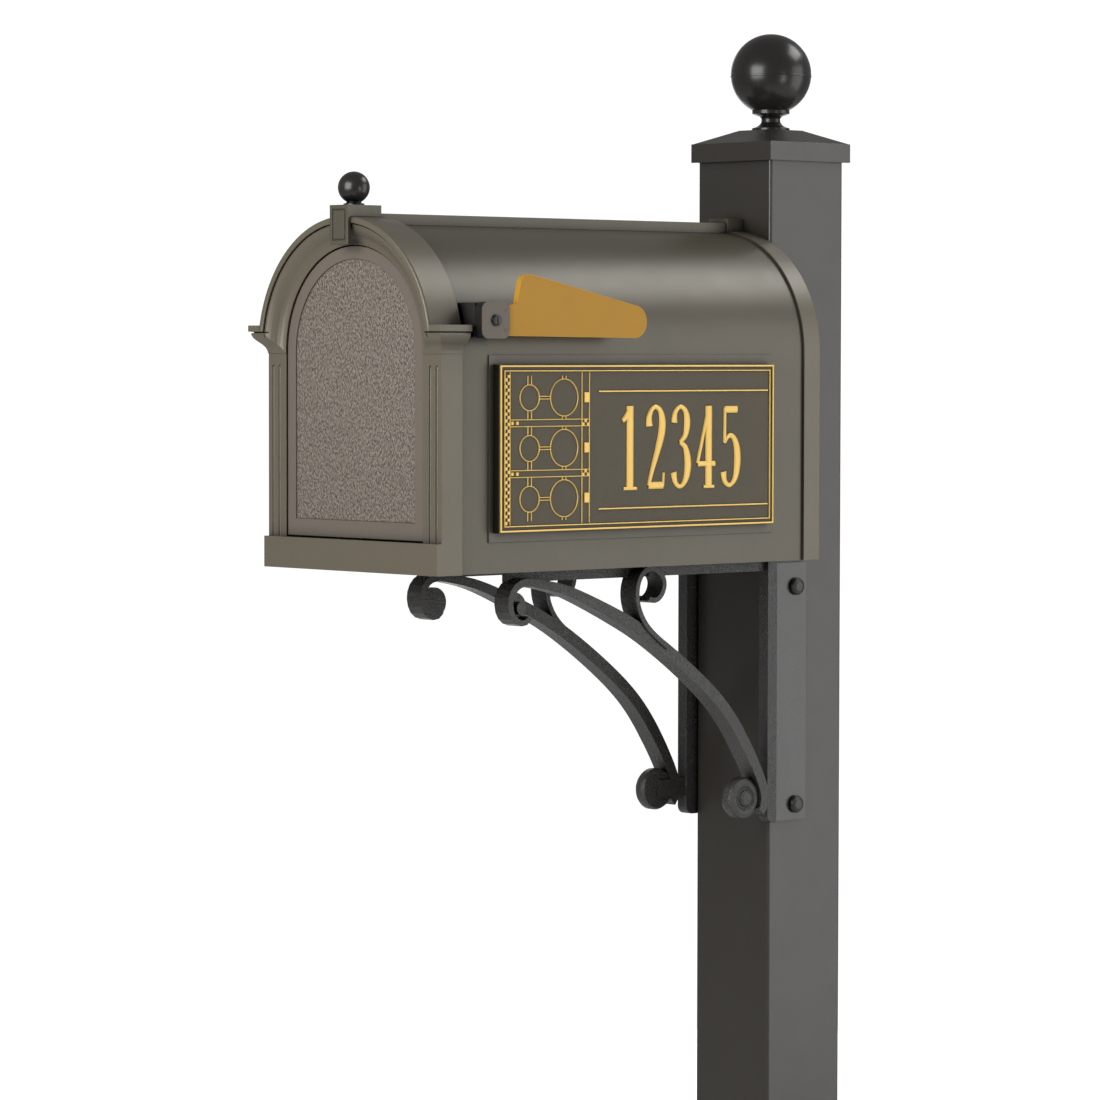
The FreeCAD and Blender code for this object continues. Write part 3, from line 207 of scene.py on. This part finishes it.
# Painted shade: the hub's and the plaque's sides below HUB_FACE_X and PLAQUE_FACE_X are this black.
PAINTED_SIDE_SHADE = (0.012, 0.010, 0.008)
PEEL = (700.0, 0.00005)
CAST = (620.0, 0.0011)
SKIN_ENDS = -0.0525     # the brackets' cast skin is only ahead of this, in front of the post
HUB_FACE_X = 0.1444     # beyond these the hub and the plaque have their colour
PLAQUE_FACE_X = 0.1258

MATERIALS = {
    "body_paint": painted("body_bronze", BODY, 0.36, PEEL, flake=0.35, metallic=0.25),
    "frame_paint": painted("frame_bronze", (0.136, 0.118, 0.086), 0.37, PEEL, flake=0.35, edge_highlight=0.12,
                           metallic=0.2, reach=0.028),
    "hub_paint": painted("hub_bronze", (0.105, 0.086, 0.066), 0.38, PEEL, flake=0.3, metallic=0.2,
                         face=HUB_FACE_X),
    "door_paint": painted("door_bronze", (0.134, 0.113, 0.091), 0.42, PEEL, hammer=True, flake=0.3),
    "post_paint": painted("post_bronze", (0.034, 0.030, 0.024), 0.30, (900.0, 0.00003), edge_highlight=0.5, shine=0.6),
    "cast_paint": painted("cast_bronze", (0.032, 0.030, 0.028), 0.27, PEEL, CAST, edge_highlight=0.5, shine=0.68,
                          skin_ends=SKIN_ENDS),
    "gloss_bronze": painted("ball_bronze", (0.017, 0.015, 0.014), 0.26, (900.0, 0.00002), edge_highlight=0.1),
    "flag_gold": painted("flag_gold", (0.48, 0.245, 0.022), 0.45, (900.0, 0.00004), edge_highlight=0.9, shine=0.25),
    "plaque_bronze": painted("plaque_bronze", (0.094, 0.078, 0.050), 0.42, PEEL, (900.0, 0.0004), shine=0.3,
                             face=PLAQUE_FACE_X),
    "relief_gold": painted("relief_gold", (0.84, 0.54, 0.12), 0.34, (900.0, 0.00005), metallic=0.25, corner_shade=0.3),
    "dark_hardware": painted("hardware_dark", (0.018, 0.016, 0.014), 0.34, (900.0, 0.00004)),
    "steel": painted("bright_zinc", (0.55, 0.55, 0.54), 0.30, (900.0, 0.00003), metallic=1.0),
    "black_plastic": painted("catch_plastic", (0.02, 0.02, 0.02), 0.5, (900.0, 0.00005)),
    "nylon": painted("nylon_white", (0.75, 0.73, 0.68), 0.5, (900.0, 0.00003)),
    "magnet": painted("magnet_grey", (0.12, 0.12, 0.125), 0.45, (900.0, 0.00005)),
}

# The boss is painted black as the shade behind the bronze hub, and the hub's pins are painted over
OTHER_PAINT = {"flag_boss": "dark_hardware", "flag_pins": "hub_paint", "flag_hub": "hub_paint",
               "front_frame": "frame_paint", "rear_frame": "frame_paint"}

for name, thing in NODES.items():
    for place in thing.material_slots:
        key = OTHER_PAINT.get(name, place.material.name.split(".")[0])
        place.link = "OBJECT"
        place.material = MATERIALS[key]


# ------------------------------------------------- numerals and plaque ornament

RELIEF_X = 0.1262       # face of the plaque
RELIEF_UP = 0.0012
GLYPH_HIGH = 0.0790
NUMERAL_FOOT = 1.1397
NUMERAL_START = -0.3225
PITCH = 0.0327          # from one numeral to the next
BOX_HIGH = 2.6          # height of the box that the strokes are given in
NARROW = 0.80           # the numerals' share of their full width
WEIGHT = 0.90           # and of their full stroke


def piece(name, verts, faces, node_name):
    """A gold piece on the plaque that stands for the CAD node of that name."""
    mesh = bpy.data.meshes.new(name)
    mesh.from_pydata(verts, [], faces)
    mesh.update()
    mesh.materials.append(MATERIALS["relief_gold"])
    thing = bpy.data.objects.new(name, mesh)
    SCENE.collection.objects.link(thing)
    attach(thing, "mailbox")
    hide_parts(node_name)


def smooth_path(points, steps=10):
    """Catmull-Rom curve through (y, z, half width) points."""
    if len(points) < 3:
        return points
    ends = [points[0]] + points + [points[-1]]
    path = []
    for i in range(1, len(ends) - 2):
        for k in range(steps):
            t = k / steps
            row = []
            for a, b, c, d in zip(ends[i - 1], ends[i], ends[i + 1], ends[i + 2]):
                row.append(0.5 * (2 * b + (c - a) * t + (2 * a - 5 * b + 4 * c - d) * t * t
                                  + (3 * b - a - 3 * c + d) * t ** 3))
            path.append(tuple(row))
    return path + [points[-1]]


def ribbon(verts, faces, path, up):
    """A raised stroke with a chamfered, slightly domed top along the path."""
    section = [(-1.0, -0.3), (-1.0, 0.45), (-0.62, 0.9), (0.0, 1.0), (0.62, 0.9), (1.0, 0.45), (1.0, -0.3)]
    first = len(verts)
    for i, (y, z, half) in enumerate(path):
        before, after = path[max(i - 1, 0)], path[min(i + 1, len(path) - 1)]
        along = Vector((after[0] - before[0], after[1] - before[1])).normalized()
        for across, lift in section:
            verts.append((RELIEF_X + up * lift, y + along.y * half * across, z - along.x * half * across))
    count = len(section)
    for i in range(len(path) - 1):
        for k in range(count - 1):
            a = first + i * count + k
            faces.append((a, a + 1, a + 1 + count, a + count))
    last = first + (len(path) - 1) * count
    faces.append(tuple(range(first, first + count)))
    faces.append(tuple(range(last + count - 1, last - 1, -1)))


# Strokes of each numeral in a box 1 wide and BOX_HIGH high: (across, up, half width)
THICK = 0.155
FINE = 0.075
GLYPHS = {
    "1": [[(0.10, 2.12, FINE), (0.30, 2.26, 0.10), (0.50, 2.56, 0.06)],
          [(0.50, 0.04, THICK), (0.50, 2.58, THICK)],
          [(0.16, 0.05, 0.055), (0.84, 0.05, 0.055)]],
    "2": [[(0.17, 1.95, 0.15), (0.16, 2.22, 0.12), (0.30, 2.46, 0.085), (0.52, 2.54, 0.075), (0.76, 2.40, 0.11),
           (0.86, 2.05, THICK), (0.78, 1.62, THICK), (0.56, 1.10, 0.12), (0.30, 0.55, 0.09),
           (0.14, 0.13, 0.07)],
          [(0.12, 0.13, 0.12), (0.90, 0.13, 0.12)],
          [(0.90, 0.10, 0.05), (0.93, 0.52, 0.05)]],
    "3": [[(0.15, 2.05, 0.14), (0.20, 2.36, 0.10), (0.48, 2.54, 0.075), (0.76, 2.38, 0.11), (0.84, 2.05, 0.145),
           (0.74, 1.66, 0.11), (0.44, 1.44, 0.065)],
          [(0.44, 1.44, 0.065), (0.74, 1.28, 0.11), (0.88, 0.84, THICK), (0.80, 0.36, 0.13),
           (0.50, 0.08, 0.075), (0.22, 0.20, 0.10), (0.12, 0.52, 0.14)]],
    "4": [[(0.66, 0.04, THICK), (0.66, 2.56, THICK)],
          [(0.66, 2.54, 0.07), (0.06, 0.78, 0.07)],
          [(0.06, 0.76, 0.09), (1.00, 0.76, 0.09)],
          [(0.38, 0.05, 0.055), (0.94, 0.05, 0.055)]],
    "5": [[(0.20, 2.50, 0.06), (0.18, 1.40, 0.07)],
          [(0.18, 2.44, 0.12), (0.86, 2.44, 0.12)],
          [(0.18, 1.40, 0.06), (0.38, 1.60, 0.075), (0.64, 1.58, 0.10), (0.84, 1.28, 0.14), (0.88, 0.82, THICK),
           (0.78, 0.34, 0.12), (0.48, 0.08, 0.075), (0.20, 0.20, 0.10), (0.12, 0.50, 0.14)]],
}


def numerals():
    scale = GLYPH_HIGH / BOX_HIGH
    verts, faces = [], []
    for place, glyph in enumerate("12345"):
        start = NUMERAL_START + place * PITCH
        for stroke in GLYPHS[glyph]:
            path = []
            for across, rise, half in stroke:
                y, z = start + across * scale * NARROW, NUMERAL_FOOT + rise * scale
                path.append((y, z, half * scale * WEIGHT))
            ribbon(verts, faces, smooth_path(path), RELIEF_UP)
    piece("numerals", verts, faces, "plaque_numerals")


def block(verts, faces, y0, y1, z0, z1, up):
    """A raised rectangle with a chamfered rim."""
    inset = min(0.0003, (y1 - y0) / 4, (z1 - z0) / 4)
    first = len(verts)
    for x, d in ((RELIEF_X - up * 0.3, 0.0), (RELIEF_X + up * 0.6, 0.0), (RELIEF_X + up, inset)):
        verts.extend([(x, y0 + d, z0 + d), (x, y1 - d, z0 + d), (x, y1 - d, z1 - d), (x, y0 + d, z1 - d)])
    for level in (0, 4):
        for k in range(4):
            a, b = first + level + k, first + level + (k + 1) % 4
            faces.append((a, b, b + 4, a + 4))
    faces.append((first + 8, first + 9, first + 10, first + 11))


def ring(verts, faces, y, z, radius, half):
    turns = 40
    path = []
    for k in range(turns + 1):
        angle = 2 * math.pi * k / turns
        path.append((y + radius * math.cos(angle), z + radius * math.sin(angle), half))
    ribbon(verts, faces, path, RELIEF_UP * 0.85)


# The ornament is a plain lattice of lines, rings and chequers
PANEL_Y = (-0.4662, -0.3620)
PANEL_Z = (1.1110, 1.2495)
LINE = 0.00045          # half the width of a line
SQUARE = 0.0031         # side of a chequer's square
RINGS = ((0.27, 0.0118), (0.75, 0.0170))    # place across the panel and radius
RING_LINE = 0.0005
TIE_HALF = 0.0022       # half the gap of the paired lines above and below a ring
BRIDGE_HALF = 0.0012    # and of those between two rings


def ornament():
    verts, faces = [], []
    y0, y1 = PANEL_Y
    z0, z1 = PANEL_Z
    up = RELIEF_UP * 0.8

    def line(ya, za, yb, zb, half=LINE):
        ribbon(verts, faces, [(ya, za, half), (yb, zb, half)], up)

    def chequer(ya, za, columns, rows, size):
        for i in range(columns):
            for k in range(rows):
                if (i + k) % 2 == 0:
                    low_y, low_z = ya + i * size, za + k * size
                    block(verts, faces, low_y, low_y + size, low_z, low_z + size, up)

    size = SQUARE
    rows = int((z1 - z0) / size)
    chequer(y0, z0, 2, rows, size)
    strip = y0 + 2 * size
    line(strip, z0, strip, z1)
    line(y1, z0, y1, z1)
    inner = y1 - 3 * size
    line(inner, z0, inner, z1)
    step = (z1 - z0) / 3
    for band in range(1, 3):
        z = z0 + band * step
        line(strip, z - size, y1, z - size)
        line(strip, z + size, y1, z + size)
        chequer(inner, z - size, 3, 2, size)
        chequer(strip + 0.4 * size, z - 0.5 * size, 4, 1, size)
    for band in range(3):
        z = z0 + (band + 0.5) * step
        tie_end = step / 2 - size
        centres = [strip + (inner - strip) * share for share, _ in RINGS]
        for y, (_, radius) in zip(centres, RINGS):
            ring(verts, faces, y, z, radius, RING_LINE)
            for way in (1, -1):
                for shift in (-TIE_HALF, TIE_HALF):
                    line(y + shift, z + way * radius, y + shift, z + way * tie_end)
        left, right = centres[0] + RINGS[0][1], centres[1] - RINGS[1][1]
        for shift in (-BRIDGE_HALF, BRIDGE_HALF):
            line(left, z + shift, right, z + shift)
        block(verts, faces, inner + size, y1, z - 1.5 * size, z + 1.5 * size, up)
    piece("ornament", verts, faces, "plaque_ornament")


numerals()
ornament()


# -------------------------------------------------------------- floor and light

def stage_material():
    """Pale floor that also glows towards the camera, so that it shows as white."""
    material, tree, shader = new_material("floor_white")
    shader.inputs["Base Color"].default_value = (0.82, 0.82, 0.82, 1)
    shader.inputs["Roughness"].default_value = 0.9
    glow = node(tree, "ShaderNodeEmission", {"Color": (1, 1, 1, 1)})
    seen = node(tree, "ShaderNodeLightPath").outputs["Is Camera Ray"]
    tree.links.new(math_node(tree, "MULTIPLY", seen, 0.85), glow.inputs["Strength"])
    both = node(tree, "ShaderNodeAddShader")
    tree.links.new(shader.outputs[0], both.inputs[0])
    tree.links.new(glow.outputs[0], both.inputs[1])
    out = next(n for n in tree.nodes if n.type == "OUTPUT_MATERIAL")
    tree.links.new(both.outputs[0], out.inputs["Surface"])
    return material


def floor():
    reach = 60.0
    mesh = bpy.data.meshes.new("floor")
    corners = [(-reach, -reach, 0), (reach, -reach, 0), (reach, reach, 0), (-reach, reach, 0)]
    mesh.from_pydata(corners, [], [(0, 1, 2, 3)])
    thing = bpy.data.objects.new("floor", mesh)
    SCENE.collection.objects.link(thing)
    mesh.materials.append(stage_material())


def sky():
    """Soft light all round, and a white backdrop to the camera."""
    world = bpy.data.worlds.new("studio")
    world.use_nodes = True
    SCENE.world = world
    tree = world.node_tree
    tree.nodes.clear()
    seen = node(tree, "ShaderNodeBackground", {"Color": (1, 1, 1, 1), "Strength": 1.05})
    soft = node(tree, "ShaderNodeBackground", {"Color": (1, 1, 1, 1), "Strength": 0.24})
    both = node(tree, "ShaderNodeMixShader")
    path = node(tree, "ShaderNodeLightPath")
    tree.links.new(path.outputs["Is Camera Ray"], both.inputs[0])
    tree.links.new(soft.outputs[0], both.inputs[1])
    tree.links.new(seen.outputs[0], both.inputs[2])
    out = node(tree, "ShaderNodeOutputWorld")
    tree.links.new(both.outputs[0], out.inputs["Surface"])


AIM = Vector((0.0, -0.30, 1.22))


def softbox(name, direction, distance, width, height, radiance):
    """A rectangular area light, as bright per square metre as a screen of that radiance."""
    light = bpy.data.lights.new(name, "AREA")
    light.shape = "RECTANGLE"
    light.size, light.size_y = width, height
    light.energy = radiance * math.pi * width * height
    thing = bpy.data.objects.new(name, light)
    SCENE.collection.objects.link(thing)
    way = Vector(direction).normalized()
    thing.location = AIM + way * distance
    thing.rotation_mode = "QUATERNION"
    thing.rotation_quaternion = way.to_track_quat("Z", "Y")
    thing.visible_camera = False


floor()
sky()
softbox("light_back_top", (0.30, 0.62, 0.65), 2.6, 1.5, 0.85, 5.0)
softbox("light_right", (0.74, 0.67, -0.02), 3.0, 1.9, 2.6, 1.95)
softbox("light_low_right", (0.95, -0.02, -0.08), 2.4, 0.4, 1.0, 5.0)
softbox("light_behind", (-0.72, 0.69, 0.02), 4.0, 2.4, 2.6, 1.3)
softbox("light_front", (0.10, -0.97, 0.25), 1.9, 1.3, 1.3, 6.5)


# ---------------------------------------------------------------------- camera

def camera():
    """Stands where the photograph was taken from, solved for beforehand."""
    data = bpy.data.cameras.new("camera")
    data.sensor_width = 36.0
    data.lens = 145.17
    data.clip_end = 200.0
    thing = bpy.data.objects.new("camera", data)
    SCENE.collection.objects.link(thing)
    turn, tip, roll = (math.radians(a) for a in (47.73, 2.6, 0.09))
    back = Vector((math.sin(turn) * math.cos(tip), -math.cos(turn) * math.cos(tip), math.sin(tip)))
    right = (-back).cross(Vector((0, 0, 1))).normalized()
    up = right.cross(-back)
    across = math.cos(roll) * right + math.sin(roll) * up
    upward = math.cos(roll) * up - math.sin(roll) * right
    place = Matrix((across, upward, back)).transposed().to_4x4()
    place.translation = Vector((3.12613, -3.13721, 1.27116))
    thing.matrix_world = place
    SCENE.camera = thing


camera()
SCENE.view_settings.view_transform = "Standard"
